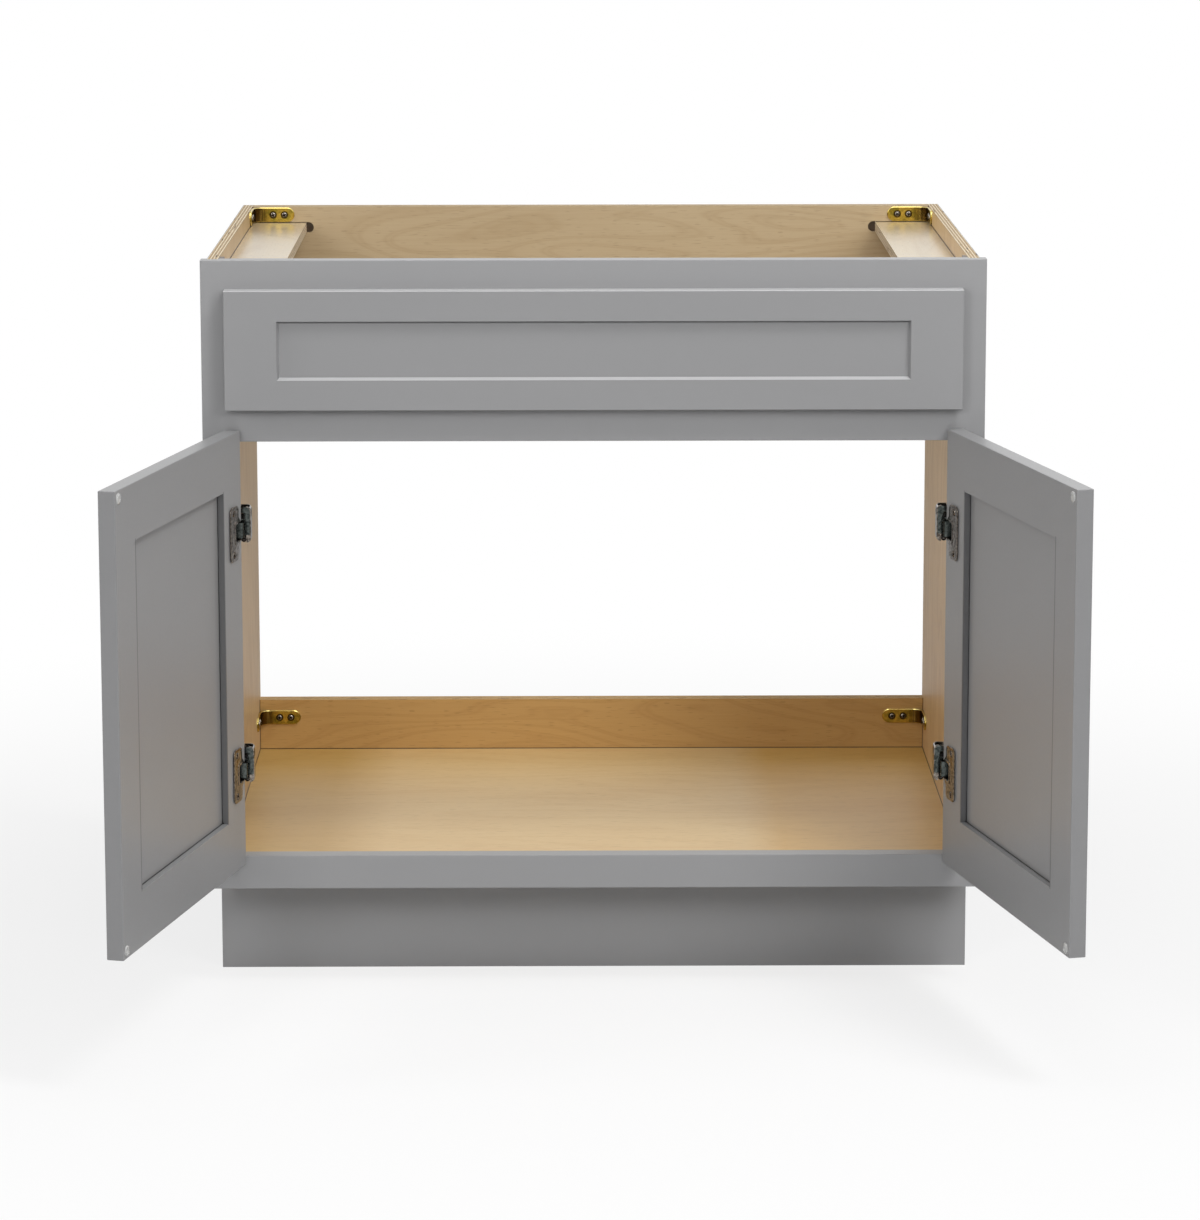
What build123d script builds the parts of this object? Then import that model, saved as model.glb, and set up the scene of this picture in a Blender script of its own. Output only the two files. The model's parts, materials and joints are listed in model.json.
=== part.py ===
from build123d import *
import os
from math import cos, radians, sin

# Framed sink base cabinet with two recessed-panel doors and a false drawer front.
# Millimetres, +Z up, +Y towards the wall. The origin lies on the floor, at the middle
# of the toe kick board. The doors are modelled open, against the stops of their hinges.

os.makedirs("parts", exist_ok=True)

# Overall size
cabinet_width = 838.2
cabinet_height = 800.1
cabinet_depth = 552.45
toe_height = 111.5
toe_recess = 80.7

# Sheet and board thicknesses
ply = 12.0
back_rail_ply = 18.0
frame_thickness = 19.05
front_thickness = 18.0

# Face frame
stile_width = 38.1
bottom_rail_height = 36.7
top_reveal = 30.5
middle_reveal = 35.8
frame_overhang = 6.35
frame_groove_depth = 6.0
tenon_length = 12.0
tenon_thickness = 6.5
tenon_shoulder = 6.0
frame_easing = 0.8

# Carcass
dado_depth = 6.0
joint_clearance = 0.1
floor_drop = 6.5
upper_rail_height = 101.6
lower_rail_above_floor = 60.7
stretcher_width = 63.3
stretcher_drop = 19.05
slot_height = 12.7
slot_depth = 8.0
slot_run_out = 8.8
slot_rise = 0.3

# Recessed-panel fronts
stile_face = 56.0
false_rail_face = 32.8
sticking = 2.5
recess = 6.2
panel_groove = 5.6
panel_groove_depth = 8.0
panel_play = 0.1
panel_float = 1.0
front_easing = 1.0
false_front_height = 128.9
front_overlay = 12.7

# Doors
door_overlay_top = 13.1
door_overlay_bottom = 7.4
centre_gap = 3.0
door_standoff = 2.4
open_angle = 104.0
bumper_diameter = 11.5
bumper_easing = 0.6
bumper_from_edge = 9.5
bumper_from_end = 8.5
bumper_clearance = 0.3

# Concealed hinges: cup and flange
hinge_above_bottom = 105.0
hinge_below_top = 108.0
pivot_from_edge = 6.4
pivot_depth = 7.45
cup_diameter = 34.8
cup_from_edge = 20.5
cup_depth = 11.6
cup_wall = 0.7
cup_clearance = 0.1
nose_from_edge = 2.3
nose_height = 20.2
flange_height = 59.0
flange_corner = 8.0
flange_rim = 0.7
flange_thickness = 1.0
cup_screw_spacing = 45.0
cup_screw_offset = 9.5

# Concealed hinges: arm, pin and frame plate
pin_diameter = 2.4
pin_running_gap = 0.05
knuckle_diameter = 4.4
arm_height = 16.5
arm_thickness = 1.6
arm_reach = 11.2
arm_bend = 1.2
carriage_front = 9.0
carriage_back = 15.6
plate_thickness = 1.6
plate_height = 39.2
plate_rise = 4.4
plate_projection = 12.3
plate_setback = 1.2
plate_depth = 16.4
plate_lip = 5.0
plate_corner = 4.5
plate_screw_low = 11.7
plate_screw_high = 16.0
access_diameter = 8.0
knob_from_stile = 4.7
knob_diameter = 4.6
knob_length = 3.4
knob_proud = 0.4
knob_drop = 11.9
spindle_diameter = 2.4

# Steel brackets at the rear corners, and clips behind the face frame
bracket_width = 17.2
bracket_leg = 49.5
bracket_thickness = 2.2
bracket_bend = 11.0
bracket_rim = 0.8
bracket_above_stretcher = 0.85
lower_bracket_below_rail = 21.3
bracket_screw_near = 24.3
bracket_screw_far = 37.7
clip_width = 18.0
clip_leg = 24.0
clip_thickness = 5.0
clip_tip = 2.2
clip_below_top = 0.8
clip_screw_distance = 15.5

# Cleats that hold the false front
cleat_width = 32.0
cleat_thickness = 12.0
cleat_lap = 11.0
cleat_from_clip = 2.75
cleat_screw_inset = 5.5
false_front_screw_spread = 50.0

# Screws
shank_diameter = 3.6
screw_play = 0.05
head_diameter = 6.0
head_height = 1.4
wood_entry = 9.0

# Places that follow from the sizes above
front = -(toe_recess + ply / 2)
frame_back = front + frame_thickness
back = front + cabinet_depth
half_width = cabinet_width / 2
stile_inner = half_width - stile_width
side_outer = half_width - frame_overhang
side_inner = side_outer - ply
rail_inner = back - back_rail_ply
false_front_bottom = cabinet_height - top_reveal - false_front_height
opening_top = false_front_bottom - middle_reveal
opening_bottom = toe_height + bottom_rail_height
top_rail_bottom = cabinet_height - top_reveal - front_overlay
middle_rail_top = opening_top + middle_reveal + front_overlay
floor_top = opening_bottom - floor_drop
floor_bottom = floor_top - ply
lower_rail_top = floor_top + lower_rail_above_floor
stretcher_top = cabinet_height - stretcher_drop
stretcher_bottom = stretcher_top - ply
stretcher_inner = side_inner - stretcher_width
front_edge = stile_inner + front_overlay
member_width = stile_face + sticking
door_bottom = opening_bottom - door_overlay_bottom
door_height = opening_top + door_overlay_top - door_bottom
door_width = front_edge - centre_gap / 2
pivot_x = front_edge - pivot_from_edge
pivot_y = front - door_standoff - pivot_depth
bracket_heights = {
    "upper": stretcher_top + bracket_above_stretcher + bracket_width / 2,
    "lower": lower_rail_top - lower_bracket_below_rail,
}
clip_top = cabinet_height - clip_below_top
clip_middle = clip_top - clip_width / 2
cleat_bottom = middle_rail_top - cleat_lap
cleat_top = top_rail_bottom + cleat_lap
cleat_middle = side_inner - clip_leg - cleat_from_clip - cleat_width / 2
plate_front = front + plate_setback
plate_middle = plate_front + plate_depth / 2
plate_outer = stile_inner - plate_projection
sides = {"left": -1, "right": 1}
hinges = {
    "lower": door_bottom + hinge_above_bottom,
    "upper": door_bottom + door_height - hinge_below_top,
}


def keep(piece, label):
    """Name a finished piece and write it to its own file."""
    piece.part.label = label
    export_step(piece.part, f"parts/{label}.step")


def placed(base, plane):
    """A plane given in the coordinates of another plane."""
    return Plane(base.location * plane.location)


def surface(x, y, z, normal):
    """Plane on a surface, with its Z axis pointing out of the material."""
    return Plane(origin=(x, y, z), z_dir=normal)


def block(x_range, y_range, z_range, mode=Mode.ADD, base=Plane.XY):
    """Box given as a range along each axis of a plane."""
    ranges = (x_range, y_range, z_range)
    size = [abs(high - low) for low, high in ranges]
    middle = tuple((high + low) / 2 for low, high in ranges)
    with Locations(base.location * Location(middle)):
        Box(*size, mode=mode)


def drill(planes, depth, diameter=shank_diameter):
    """Straight holes into the material behind each plane."""
    for plane in planes:
        with Locations(plane):
            Hole(diameter / 2 + screw_play, depth + screw_play)


def screw(plane, sheet):
    """Pan-head screw through a sheet that lies on the plane, into the wood behind it."""
    with Locations(plane.offset(sheet)):
        Cylinder(head_diameter / 2, head_height, align=(Align.CENTER, Align.CENTER, Align.MIN))
        Cylinder(
            shank_diameter / 2,
            sheet + wood_entry,
            align=(Align.CENTER, Align.CENTER, Align.MAX),
        )


# Screw places, as planes on the wood that each screw enters
rail_screws = {}
side_screws = {}
clip_stile_screws = {}
clip_side_screws = {}
plate_screws = {}
cleat_screws = {}
front_screws = {}
for side in sides.values():
    for level, height in bracket_heights.items():
        distances = (bracket_screw_near, bracket_screw_far)
        rail_screws[side, level] = [
            surface(side * (side_inner - distance), rail_inner, height, (0, -1, 0))
            for distance in distances
        ]
        side_screws[side, level] = [
            surface(side * side_inner, rail_inner - distance, height, (-side, 0, 0))
            for distance in distances
        ]
    clip_stile_screws[side] = surface(
        side * (side_inner - clip_screw_distance), frame_back, clip_middle, (0, 1, 0)
    )
    clip_side_screws[side] = surface(
        side * side_inner, frame_back + clip_screw_distance, clip_middle, (-side, 0, 0)
    )
    plate_screws[side] = [
        surface(side * stile_inner, plate_middle, height + offset, (-side, 0, 0))
        for height in hinges.values()
        for offset in (-plate_screw_low, plate_screw_high)
    ]
    cleat_screws[side] = [
        surface(side * cleat_middle, frame_back, height, (0, 1, 0))
        for height in (cleat_bottom + cleat_screw_inset, cleat_top - cleat_screw_inset)
    ]
    front_screws[side] = [
        surface(side * cleat_middle, front, (cleat_bottom + cleat_top) / 2 + offset, (0, 1, 0))
        for offset in (-false_front_screw_spread / 2, false_front_screw_spread / 2)
    ]


# Face frame: two stiles, joined by three rails with stub tenons
frame_rails = {
    "bottom": (toe_height, opening_bottom),
    "middle": (opening_top, middle_rail_top),
    "top": (top_rail_bottom, cabinet_height),
}
tenon_front = front + (frame_thickness - tenon_thickness) / 2
tenon_back = tenon_front + tenon_thickness
groove_front = frame_back - frame_groove_depth
floor_groove = (floor_bottom - joint_clearance, floor_top + joint_clearance)

for name, side in sides.items():
    with BuildPart() as face_stile:
        block((side * stile_inner, side * half_width), (front, frame_back), (toe_height, cabinet_height))
        front_edges = face_stile.faces().sort_by(Axis.Y)[0].edges()
        fillet(front_edges.sort_by(lambda edge: abs(edge.center().X))[1:], frame_easing)
        for bottom, top in frame_rails.values():
            block(
                (side * stile_inner, side * (stile_inner + tenon_length + joint_clearance)),
                (tenon_front - joint_clearance, tenon_back + joint_clearance),
                (bottom + tenon_shoulder - joint_clearance, top - tenon_shoulder + joint_clearance),
                Mode.SUBTRACT,
            )
        # Grooves for the front edges of the side panel and the floor
        block(
            (side * (side_inner - joint_clearance), side * (side_outer + joint_clearance)),
            (groove_front, frame_back),
            (toe_height, cabinet_height),
            Mode.SUBTRACT,
        )
        block(
            (side * stile_inner, side * side_inner),
            (groove_front, frame_back),
            floor_groove,
            Mode.SUBTRACT,
        )
        drill(plate_screws[side] + [clip_stile_screws[side]], wood_entry)
    keep(face_stile, f"face_frame_{name}_stile")

for name, (bottom, top) in frame_rails.items():
    with BuildPart() as face_rail:
        block((-stile_inner, stile_inner), (front, frame_back), (bottom, top))
        long_edges = face_rail.faces().sort_by(Axis.Y)[0].edges().filter_by(Axis.X)
        fillet(long_edges, frame_easing)
        block(
            (-stile_inner - tenon_length, stile_inner + tenon_length),
            (tenon_front, tenon_back),
            (bottom + tenon_shoulder, top - tenon_shoulder),
        )
        block((-stile_inner, stile_inner), (groove_front, frame_back), floor_groove, Mode.SUBTRACT)
        for side in sides.values():
            drill(cleat_screws[side] + [clip_stile_screws[side]], wood_entry)
    keep(face_rail, f"face_frame_{name}_rail")


# Carcass panels
for name, side in sides.items():
    with BuildPart() as side_panel:
        with BuildSketch(Plane.YZ.offset(side * side_inner)):
            with BuildLine():
                Polyline(
                    (ply / 2, 0),
                    (back, 0),
                    (back, cabinet_height),
                    (groove_front + joint_clearance, cabinet_height),
                    (groove_front + joint_clearance, toe_height),
                    (ply / 2, toe_height),
                    close=True,
                )
            make_face()
        extrude(amount=side * ply)
        dado = (side * side_inner, side * (side_inner + dado_depth))
        stretcher_groove = (stretcher_bottom - joint_clearance, stretcher_top + joint_clearance)
        for groove in (floor_groove, stretcher_groove):
            block(dado, (groove_front, back), groove, Mode.SUBTRACT)
        for level in bracket_heights:
            drill(side_screws[side, level], wood_entry)
        drill([clip_side_screws[side]], wood_entry)
    keep(side_panel, f"{name}_side_panel")

    with BuildPart() as stretcher:
        block(
            (side * stretcher_inner, side * (side_inner + dado_depth - joint_clearance)),
            (frame_back, rail_inner),
            (stretcher_bottom, stretcher_top),
        )
        # Rear tongue, let into the slot of the back rail
        block(
            (side * stretcher_inner, side * (side_inner - joint_clearance)),
            (rail_inner, rail_inner + slot_depth - joint_clearance),
            (stretcher_bottom, stretcher_top),
        )
    keep(stretcher, f"{name}_top_stretcher")

with BuildPart() as floor_panel:
    floor_half = side_inner + dado_depth - joint_clearance
    block((-floor_half, floor_half), (frame_back, rail_inner), (floor_bottom, floor_top))
    tongue_half = side_inner - joint_clearance
    block(
        (-tongue_half, tongue_half),
        (groove_front + joint_clearance, rail_inner + dado_depth - joint_clearance),
        (floor_bottom, floor_top),
    )
keep(floor_panel, "floor_panel")

with BuildPart() as upper_back_rail:
    block((-side_inner, side_inner), (rail_inner, back), (cabinet_height - upper_rail_height, cabinet_height))
    # Slots for the stretchers, each with a round inner end
    slot_end = stretcher_inner - slot_run_out + slot_height / 2
    slot_middle = (stretcher_top + stretcher_bottom) / 2 + slot_rise
    with BuildSketch(Plane.XZ.offset(-rail_inner)):
        for side in sides.values():
            with Locations((side * (slot_end + side_inner) / 2, slot_middle)):
                Rectangle(side_inner - slot_end, slot_height)
            with Locations((side * slot_end, slot_middle)):
                Circle(slot_height / 2)
    extrude(amount=-slot_depth, mode=Mode.SUBTRACT)
    for side in sides.values():
        drill(rail_screws[side, "upper"], wood_entry)
keep(upper_back_rail, "upper_back_rail")

with BuildPart() as lower_back_rail:
    block((-side_inner, side_inner), (rail_inner, back), (toe_height, lower_rail_top))
    block((-side_inner, side_inner), (rail_inner, rail_inner + dado_depth), floor_groove, Mode.SUBTRACT)
    for side in sides.values():
        drill(rail_screws[side, "lower"], wood_entry)
keep(lower_back_rail, "lower_back_rail")

with BuildPart() as toe_kick_board:
    block((-side_outer, side_outer), (-ply / 2, ply / 2), (0, toe_height - joint_clearance))
    fillet(toe_kick_board.faces().sort_by(Axis.Y)[0].edges().filter_by(Axis.Z), frame_easing)
keep(toe_kick_board, "toe_kick_board")


# Rear corner brackets: two legs with round ends, and a wide bend between them
for level, height in bracket_heights.items():
    for name, side in sides.items():
        bend = bracket_bend + bracket_thickness
        tip = bracket_leg - bracket_width / 2
        corner = (side * side_inner, rail_inner, height)
        legs = (
            Plane(origin=corner, x_dir=(-side, 0, 0), z_dir=(0, -1, 0)),
            Plane(origin=corner, x_dir=(0, -1, 0), z_dir=(-side, 0, 0)),
        )
        with BuildPart() as corner_bracket:
            for leg in legs:
                with BuildSketch(leg):
                    with Locations(((bend + tip) / 2, 0)):
                        Rectangle(tip - bend, bracket_width)
                    with Locations((tip, 0)):
                        Circle(bracket_width / 2)
                extrude(amount=bracket_thickness)
            with BuildSketch(Plane.XY.offset(height - bracket_width / 2)):
                with Locations((side * (side_inner - bend), rail_inner - bend)):
                    Circle(bend)
                    Circle(bracket_bend, mode=Mode.SUBTRACT)
                with Locations((side * (side_inner - bend / 2), rail_inner - bend / 2)):
                    Rectangle(bend, bend, mode=Mode.INTERSECT)
            extrude(amount=bracket_width)
            showing = [
                corner_bracket.faces().filter_by(Axis.Y).sort_by(Axis.Y)[0],
                corner_bracket.faces().filter_by(Axis.X).sort_by(lambda face: abs(face.center().X))[0],
                corner_bracket.faces().filter_by(GeomType.CYLINDER).sort_by(SortBy.RADIUS)[-2],
            ]
            rims = ShapeList(edge for face in showing for edge in face.edges())
            chamfer(rims.filter_by(Axis.Z, reverse=True), bracket_rim)
            for place in rail_screws[side, level] + side_screws[side, level]:
                drill([place.offset(bracket_thickness)], bracket_thickness)
        keep(corner_bracket, f"{level}_{name}_corner_bracket")

with BuildPart() as front_corner_clips:
    for side in sides.values():
        corner = (side * side_inner, frame_back)
        with BuildSketch(Plane.XY.offset(clip_top)):
            with BuildLine():
                Polyline(
                    corner,
                    (side * (side_inner - clip_leg), frame_back),
                    (side * (side_inner - clip_leg), frame_back + clip_thickness),
                    (side * (side_inner - clip_thickness), frame_back + clip_thickness),
                    (side * (side_inner - clip_thickness), frame_back + clip_leg),
                    (side * side_inner, frame_back + clip_leg),
                    close=True,
                )
            make_face()
            fillet(vertices().sort_by_distance(corner)[1:], clip_tip)
        extrude(amount=-clip_width)
    for side in sides.values():
        for place in (clip_stile_screws[side], clip_side_screws[side]):
            drill([place.offset(clip_thickness)], clip_thickness)
keep(front_corner_clips, "front_corner_clips")

with BuildPart() as false_front_cleats:
    for side in sides.values():
        block(
            (side * cleat_middle - cleat_width / 2, side * cleat_middle + cleat_width / 2),
            (frame_back, frame_back + cleat_thickness),
            (cleat_bottom, cleat_top),
        )
    for side in sides.values():
        for place in cleat_screws[side]:
            drill([place.offset(cleat_thickness)], cleat_thickness)
        for place in front_screws[side]:
            drill([place.offset(frame_thickness + cleat_thickness)], cleat_thickness)
keep(false_front_cleats, "false_front_cleats")


def member_outline(face, grooved):
    """Section of a stile or rail: across from its outer edge, and depth from its front."""
    inner = face + sticking
    groove_end = inner - panel_groove_depth
    outline = [(0, 0), (face, 0), (inner, recess)]
    if grooved:
        outline += [(groove_end, recess), (groove_end, recess + panel_groove)]
        outline += [(inner, recess + panel_groove)]
    return outline + [(inner, front_thickness), (0, front_thickness)]


def cup_outline(margin):
    """Round cup with a squared nose towards the door's edge, seen on the door's back."""
    nose = cup_from_edge - nose_from_edge + margin
    with Locations((cup_from_edge, 0)):
        Circle(cup_diameter / 2 + margin)
    with Locations((cup_from_edge - nose / 2, 0)):
        Rectangle(nose, nose_height + 2 * margin)


def front_panel(base, width, height, rail_face, prefix, stile_names, bores, pilots):
    """One front in a plane with X across, Y from front to back and Z up: five pieces."""
    stile_groove = member_width - panel_groove_depth
    rail_groove = rail_face + sticking - panel_groove_depth
    for name, mirrored in zip(stile_names, (False, True)):
        with BuildPart() as front_stile:
            outline = [
                (width - across if mirrored else across, depth)
                for across, depth in member_outline(stile_face, True)
            ]
            with BuildSketch(base):
                with BuildLine():
                    Polyline(*outline, close=True)
                make_face()
                fillet(vertices().sort_by(Axis.X, reverse=mirrored)[:2], front_easing)
            extrude(amount=height)
            for end in (0, -1):
                end_face = front_stile.faces().sort_by(Axis.Z)[end]
                fillet(end_face.edges().sort_by(SortBy.LENGTH)[-2:], front_easing)
            for bore in bores:
                with BuildSketch(bore):
                    cup_outline(cup_clearance)
                extrude(amount=-cup_depth - cup_clearance, mode=Mode.SUBTRACT)
            drill(pilots, wood_entry)
        keep(front_stile, f"{prefix}_{name}_stile")

    for name, mirrored in (("bottom", False), ("top", True)):
        with BuildPart() as front_rail:
            outline = [
                (depth, height - across if mirrored else across)
                for across, depth in member_outline(rail_face, True)
            ]
            with BuildSketch(placed(base, Plane.YZ.offset(stile_face))):
                with BuildLine():
                    Polyline(*outline, close=True)
                make_face()
                fillet(vertices().sort_by(Axis.Y, reverse=mirrored)[:2], front_easing)
            extrude(amount=width - 2 * stile_face)
            # Ends coped over the bevel of the stiles, with stub tenons in their grooves
            coped = member_outline(stile_face, False)
            with BuildSketch(base):
                for ends in (coped, [(width - across, depth) for across, depth in coped]):
                    with BuildLine():
                        Polyline(*ends, close=True)
                    make_face()
            extrude(amount=height, mode=Mode.SUBTRACT)
            block(
                (stile_groove + joint_clearance, width - stile_groove - joint_clearance),
                (recess + panel_play, recess + panel_groove - panel_play),
                (height, height - rail_groove) if mirrored else (0, rail_groove),
                base=base,
            )
        keep(front_rail, f"{prefix}_{name}_rail")

    with BuildPart() as recessed_panel:
        block(
            (stile_groove + panel_float, width - stile_groove - panel_float),
            (recess + panel_play, recess + panel_groove - panel_play),
            (rail_groove + panel_float, height - rail_groove - panel_float),
            base=base,
        )
    keep(recessed_panel, f"{prefix}_panel")


front_panel(
    base=Plane(origin=(-front_edge, front - front_thickness, false_front_bottom)),
    width=2 * front_edge,
    height=false_front_height,
    rail_face=false_rail_face,
    prefix="false_front",
    stile_names=("left", "right"),
    bores=(),
    pilots=front_screws[-1] + front_screws[1],
)

for name, side in sides.items():
    angle = radians(side * open_angle)
    swung = Plane(
        origin=(side * pivot_x, pivot_y, door_bottom),
        x_dir=(cos(angle), sin(angle), 0),
        z_dir=(0, 0, 1),
    )
    left_edge = -pivot_from_edge if side < 0 else pivot_from_edge - door_width
    door_base = placed(swung, Plane(origin=(left_edge, pivot_depth - front_thickness, 0)))
    hinge_edge = 0 if side < 0 else door_width
    free_edge = door_width - hinge_edge
    seats = {}
    for level, height in hinges.items():
        on_door = Plane(
            origin=(hinge_edge, front_thickness, height - door_bottom),
            x_dir=(-side, 0, 0),
            z_dir=(0, 1, 0),
        )
        seats[level] = placed(door_base, on_door)
    cup_screws = [
        placed(seat, Plane(origin=(cup_from_edge + cup_screw_offset, offset, 0)))
        for seat in seats.values()
        for offset in (-cup_screw_spacing / 2, cup_screw_spacing / 2)
    ]
    front_panel(
        base=door_base,
        width=door_width,
        height=door_height,
        rail_face=stile_face,
        prefix=f"{name}_door",
        stile_names=("hinge", "free") if side < 0 else ("free", "hinge"),
        bores=seats.values(),
        pilots=cup_screws,
    )

    with BuildPart() as door_bumpers:
        for height in (bumper_from_end, door_height - bumper_from_end):
            spot = (free_edge + side * bumper_from_edge, front_thickness, height)
            with BuildSketch(placed(door_base, Plane(origin=spot, z_dir=(0, 1, 0)))):
                Circle(bumper_diameter / 2)
            extrude(amount=door_standoff - bumper_clearance)
        rounds = door_bumpers.edges().filter_by(GeomType.CIRCLE)
        outermost = rounds.sort_by(lambda edge: door_base.to_local_coords(edge.center()).Y)
        chamfer(outermost[-2:], bumper_easing)
    keep(door_bumpers, f"{name}_door_bumpers")

    # Concealed hinges: the cup turns with the door, on a pin through the fixed arm
    for level, height in hinges.items():
        seat = seats[level]
        with BuildPart() as hinge_cup:
            with BuildSketch(seat):
                cup_outline(0)
                with Locations((cup_from_edge, 0)):
                    Circle(cup_diameter / 2 + flange_rim)
                with Locations((cup_from_edge + cup_screw_offset, 0)):
                    SlotOverall(flange_height, 2 * flange_corner, rotation=90)
            extrude(amount=flange_thickness)
            with BuildSketch(seat):
                cup_outline(0)
            extrude(amount=-cup_depth)
            with BuildSketch(seat.offset(flange_thickness)):
                cup_outline(-cup_wall)
            extrude(amount=-(flange_thickness + cup_depth - cup_wall), mode=Mode.SUBTRACT)
            for place in cup_screws:
                drill([place.offset(flange_thickness)], flange_thickness)
            with Locations((side * pivot_x, pivot_y, height)):
                Cylinder(pin_diameter / 2, nose_height, mode=Mode.SUBTRACT)
        keep(hinge_cup, f"{name}_{level}_hinge_cup")

        with BuildPart() as hinge_arm:
            half = arm_thickness / 2
            elbow_near = side * (pivot_x - arm_reach + half)
            elbow_far = side * (pivot_x - arm_reach - half)
            wall_near = side * (stile_inner - plate_thickness)
            wall_far = side * (plate_outer + plate_thickness)
            with BuildSketch(Plane.XY.offset(height - arm_height / 2)):
                with BuildLine():
                    Polyline(
                        (side * pivot_x, pivot_y - half),
                        (elbow_far, pivot_y - half),
                        (elbow_far, front + carriage_back),
                        (elbow_near, front + carriage_back),
                        (elbow_near, pivot_y + half),
                        (side * pivot_x, pivot_y + half),
                        close=True,
                    )
                make_face()
                outside = vertices().sort_by_distance((elbow_far, pivot_y - half))[0]
                inside = vertices().sort_by_distance((elbow_near, pivot_y + half))[0]
                fillet(outside, arm_bend + arm_thickness)
                fillet(inside, arm_bend)
                with Locations(((wall_near + wall_far) / 2, front + (carriage_front + carriage_back) / 2)):
                    Rectangle(abs(wall_near - wall_far), carriage_back - carriage_front)
                with Locations((side * pivot_x, pivot_y)):
                    Circle(knuckle_diameter / 2)
                    Circle(pin_diameter / 2 + pin_running_gap, mode=Mode.SUBTRACT)
            extrude(amount=arm_height)
        keep(hinge_arm, f"{name}_{level}_hinge_arm")

        with BuildPart() as hinge_plate:
            channel_middle = side * (stile_inner + plate_outer) / 2
            with BuildSketch(Plane.XY.offset(height + plate_rise - plate_height / 2)):
                with Locations((channel_middle, plate_middle)):
                    Rectangle(plate_projection, plate_depth)
                    Rectangle(
                        plate_projection - 2 * plate_thickness,
                        plate_depth - 2 * plate_thickness,
                        mode=Mode.SUBTRACT,
                    )
                # Slot for the arm, between the stile and the folded lip
                slot_width = plate_projection - plate_thickness - plate_lip
                slot_centre = stile_inner - plate_thickness - slot_width / 2
                with Locations((side * slot_centre, plate_front + plate_thickness / 2)):
                    Rectangle(slot_width, plate_thickness, mode=Mode.SUBTRACT)
            extrude(amount=plate_height)
            with BuildSketch(Plane.XZ.offset(-plate_front)):
                with Locations((channel_middle, height + plate_rise)):
                    Rectangle(plate_projection, plate_height)
                fillet(vertices().sort_by(lambda corner: abs(corner.X))[:2], plate_corner)
            extrude(amount=-plate_depth, mode=Mode.INTERSECT)
            for place in plate_screws[side]:
                drill([place.offset(plate_thickness)], plate_thickness)
            reach = surface(side * plate_outer, plate_middle, height + plate_screw_high, (-side, 0, 0))
            drill([reach], plate_thickness, access_diameter)
            # Adjusting screw along the channel, below the arm
            knob_x = side * (stile_inner - knob_from_stile)
            spindle_length = plate_depth - plate_thickness + knob_proud
            backward = (Align.CENTER, Align.CENTER, Align.MIN)
            with Locations(surface(knob_x, plate_front - knob_proud, height - knob_drop, (0, 1, 0))):
                Cylinder(knob_diameter / 2, knob_length, align=backward)
                Cylinder(spindle_diameter / 2, spindle_length, align=backward)
        keep(hinge_plate, f"{name}_{level}_hinge_plate")

    with BuildPart() as hinge_pins:
        for height in hinges.values():
            with Locations((side * pivot_x, pivot_y, height)):
                Cylinder(pin_diameter / 2, nose_height)
    keep(hinge_pins, f"{name}_hinge_pins")

    with BuildPart() as cup_fasteners:
        for place in cup_screws:
            screw(place, flange_thickness)
    keep(cup_fasteners, f"{name}_hinge_cup_screws")


# Fasteners of the carcass, one group for each kind
with BuildPart() as plate_fasteners:
    for side in sides.values():
        for place in plate_screws[side]:
            screw(place, plate_thickness)
keep(plate_fasteners, "hinge_plate_screws")

with BuildPart() as bracket_fasteners:
    for group in list(rail_screws.values()) + list(side_screws.values()):
        for place in group:
            screw(place, bracket_thickness)
keep(bracket_fasteners, "corner_bracket_screws")

with BuildPart() as clip_fasteners:
    for place in list(clip_stile_screws.values()) + list(clip_side_screws.values()):
        screw(place, clip_thickness)
keep(clip_fasteners, "front_clip_screws")

with BuildPart() as cleat_fasteners:
    for side in sides.values():
        for place in cleat_screws[side]:
            screw(place, cleat_thickness)
        for place in front_screws[side]:
            screw(place, frame_thickness + cleat_thickness)
keep(cleat_fasteners, "cleat_screws")
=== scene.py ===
import json
from math import cos, pi, radians, sin

import bmesh
import bpy
import numpy as np
from bpy.props import FloatProperty, FloatVectorProperty, PointerProperty
from mathutils import Matrix, Vector


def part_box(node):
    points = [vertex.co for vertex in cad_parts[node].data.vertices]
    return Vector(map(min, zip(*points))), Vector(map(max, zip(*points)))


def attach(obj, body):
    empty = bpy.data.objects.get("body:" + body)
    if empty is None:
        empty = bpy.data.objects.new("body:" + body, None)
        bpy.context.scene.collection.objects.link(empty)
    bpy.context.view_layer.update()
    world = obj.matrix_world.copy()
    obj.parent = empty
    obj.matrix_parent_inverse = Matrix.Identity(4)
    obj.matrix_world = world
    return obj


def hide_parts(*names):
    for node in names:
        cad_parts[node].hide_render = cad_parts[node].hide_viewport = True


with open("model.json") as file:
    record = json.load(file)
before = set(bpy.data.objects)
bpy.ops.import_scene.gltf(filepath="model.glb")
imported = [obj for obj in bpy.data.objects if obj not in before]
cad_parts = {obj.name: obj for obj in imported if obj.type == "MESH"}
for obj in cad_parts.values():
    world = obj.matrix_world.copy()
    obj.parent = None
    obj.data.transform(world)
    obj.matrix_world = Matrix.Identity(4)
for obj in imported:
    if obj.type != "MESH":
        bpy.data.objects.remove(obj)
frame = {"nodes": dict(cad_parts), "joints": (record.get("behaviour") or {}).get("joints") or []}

bl_info = {
    "name": "Framed sink base finishes",
    "version": (1, 0, 0),
    "blender": (4, 5, 0),
    "location": "3D View > Sidebar > Sink Base",
    "description": "Paint, plywood, fasteners, hinges and stage of a framed sink base cabinet",
    "category": "Object",
}

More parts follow.
